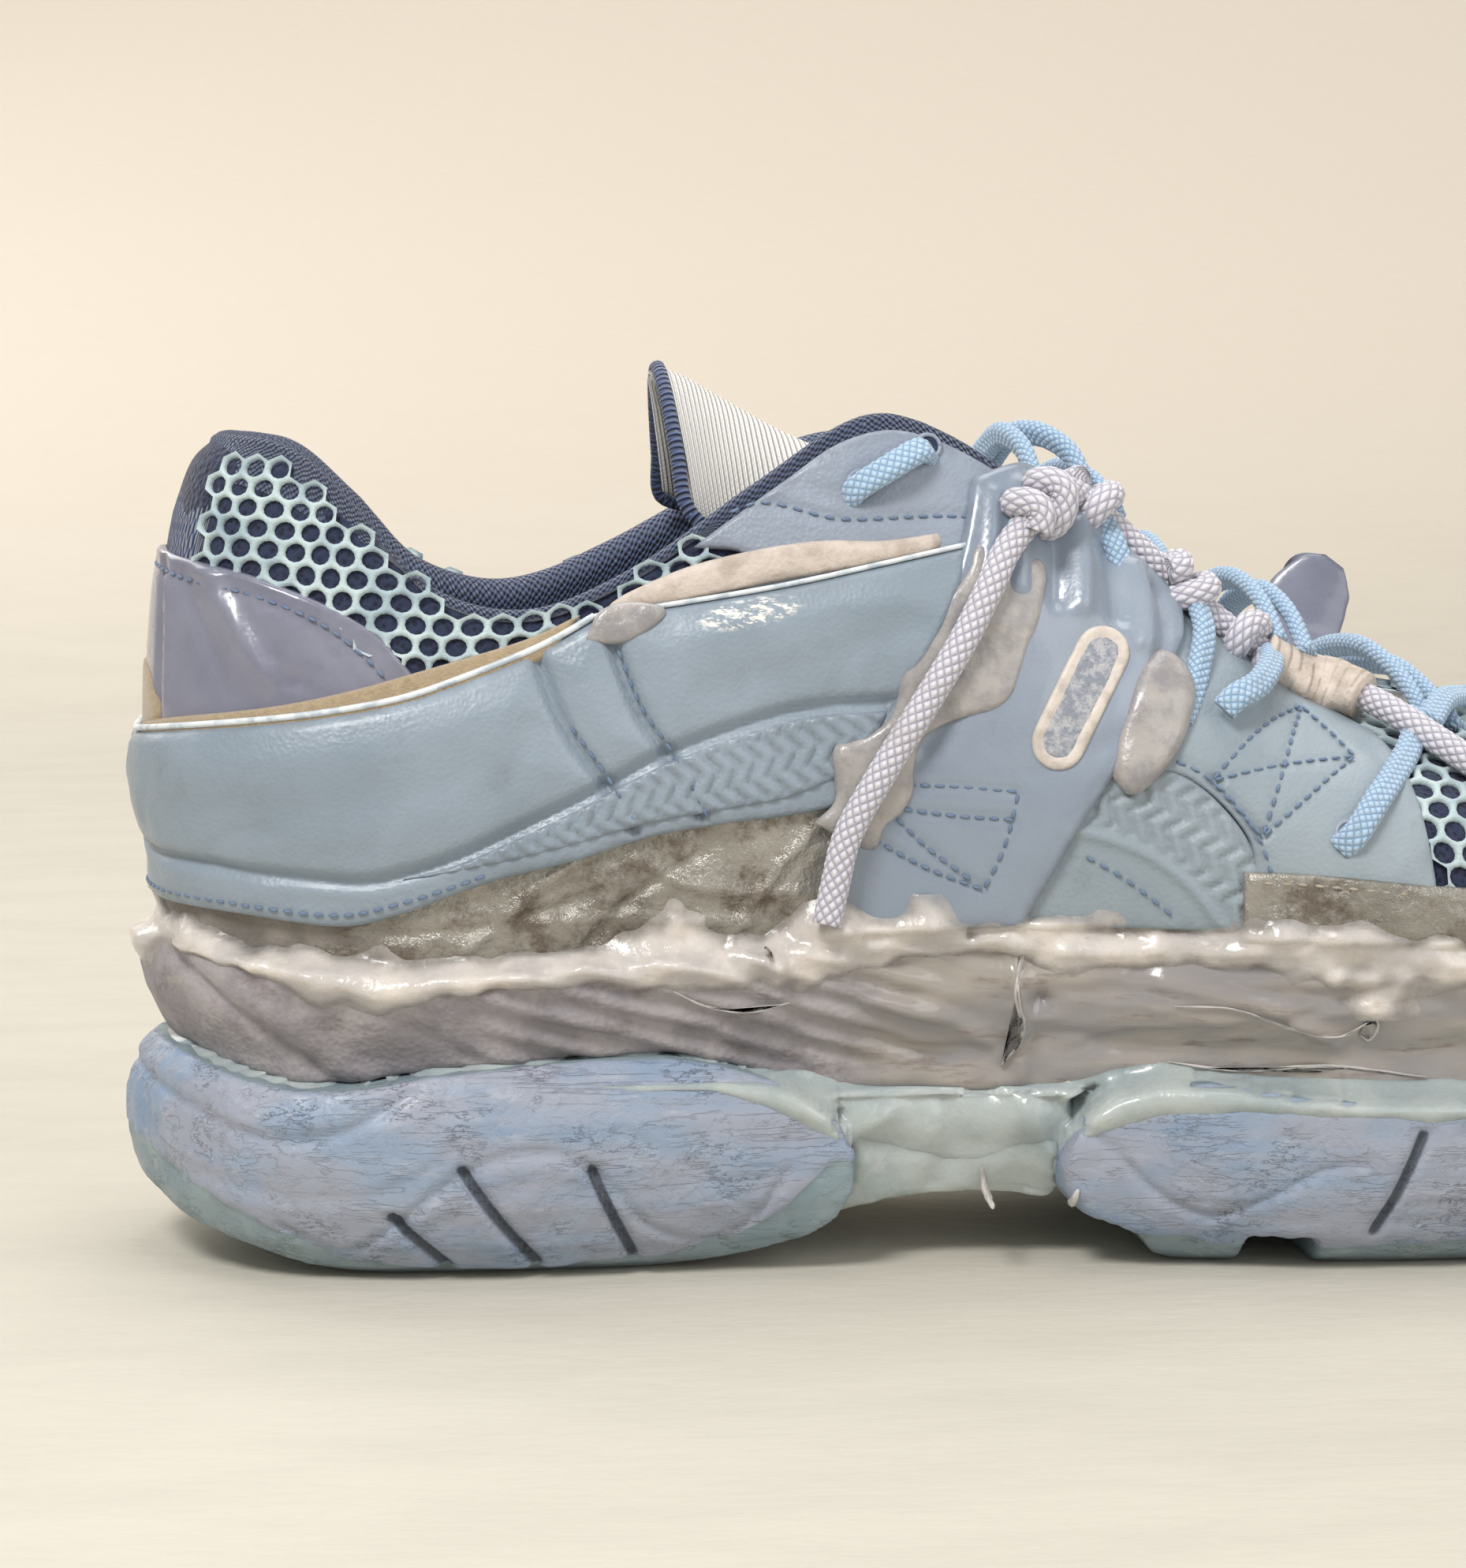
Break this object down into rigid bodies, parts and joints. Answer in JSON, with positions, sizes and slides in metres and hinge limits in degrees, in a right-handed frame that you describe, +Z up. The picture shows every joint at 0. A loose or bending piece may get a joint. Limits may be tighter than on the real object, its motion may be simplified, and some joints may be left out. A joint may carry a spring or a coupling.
{
  "type": "worn sneaker",
  "caption": "Worn low-top running sneaker for the right foot: hollow mesh and leather upper, padded tongue, chunky split sole, laces and a glued-on repair cord.",
  "frame": {"origin": "on the floor, under the middle of the shoe's bounding box", "axes": "+X heel to toe, +Y towards the inner (medial) side of the foot, +Z up"},
  "size_m": [0.3098, 0.1108, 0.1495],
  "materials": {
    "rubber": "worn painted rubber",
    "foam": "worn moulded foam under a gum film",
    "gum": "translucent gum",
    "glue": "hardened glue",
    "leather": "worn satin",
    "counter": "moulded satin",
    "strap": "worn gloss",
    "mesh": "coarse mesh over a dark lining",
    "knit": "ribbed knit",
    "sock": "flattened sock liner",
    "lace": "flat woven",
    "cord": "braided"
  },
  "bodies": {
    "root": {"outsole_heel": "rubber", "outsole_forefoot": "rubber", "midsole": "foam", "arch_bridge": "gum", "insole": "sock", "upper": "mesh", "tongue": "knit", "quarter_panel": "leather", "heel_counter": "counter", "strap_lateral": "strap", "strap_medial": "strap", "glue_bead": "glue", "laces": "lace", "tie_cord": "cord"}
  },
  "joints": []
}
